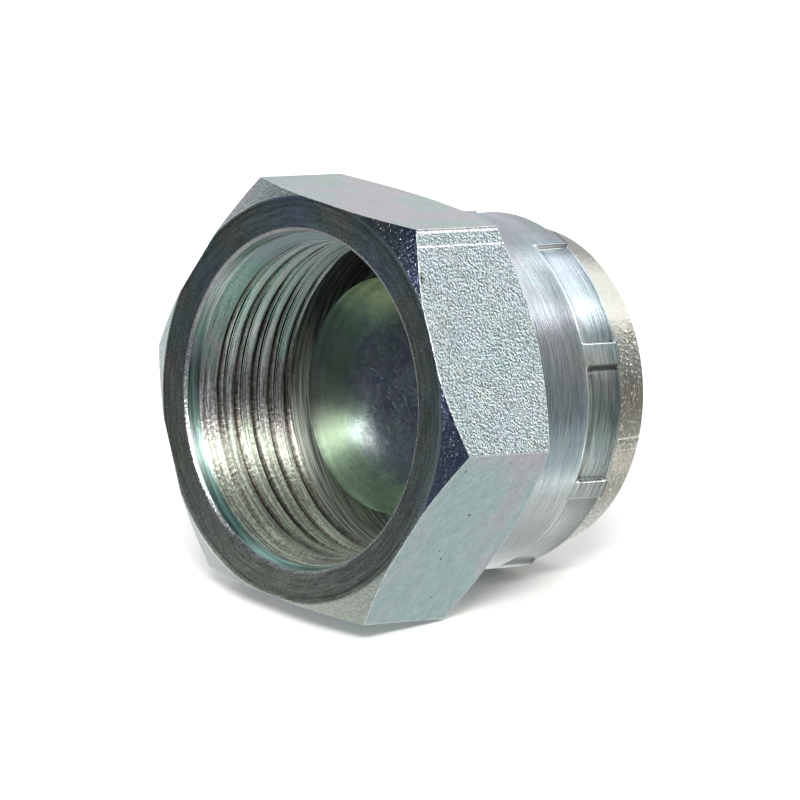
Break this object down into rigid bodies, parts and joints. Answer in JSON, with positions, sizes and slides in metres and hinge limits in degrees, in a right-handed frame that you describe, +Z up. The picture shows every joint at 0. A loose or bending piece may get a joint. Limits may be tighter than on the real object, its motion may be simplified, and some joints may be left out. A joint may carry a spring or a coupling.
{
  "type": "threaded protection cap with swivel nut",
  "caption": "Hexagonal swivel nut with an internal pipe thread, swaged round a captive domed steel plug: screws on a male port to close and protect it.",
  "frame": {"origin": "middle of the footprint on the ground: the cap lies on the rear edge of its lowest flat and on the lip of its crimped collar", "axes": "+Z up; the mouth looks towards -Y and is raised by about ten degrees; +X runs through a hexagon corner, square to the bore axis"},
  "size_m": [0.037, 0.0302, 0.0335],
  "materials": {
    "nut_zinc": "zinc plate with a pale iridescent passivation, turned and milled, the wrench flats blasted or smooth",
    "plug_zinc": "zinc plate with a green iridescent passivation, smooth turned dome with light scratches"
  },
  "bodies": {
    "nut": {"swivel_nut": "nut_zinc"},
    "plug": {"plug": "plug_zinc"}
  },
  "joints": [
    {"name": "plug_swivel", "type": "hinge", "parent": "nut", "child": "plug", "pos_m": [0, 0.00738, 0.01428], "axis": [0, 0.9852, -0.1715], "continuous": true}
  ]
}
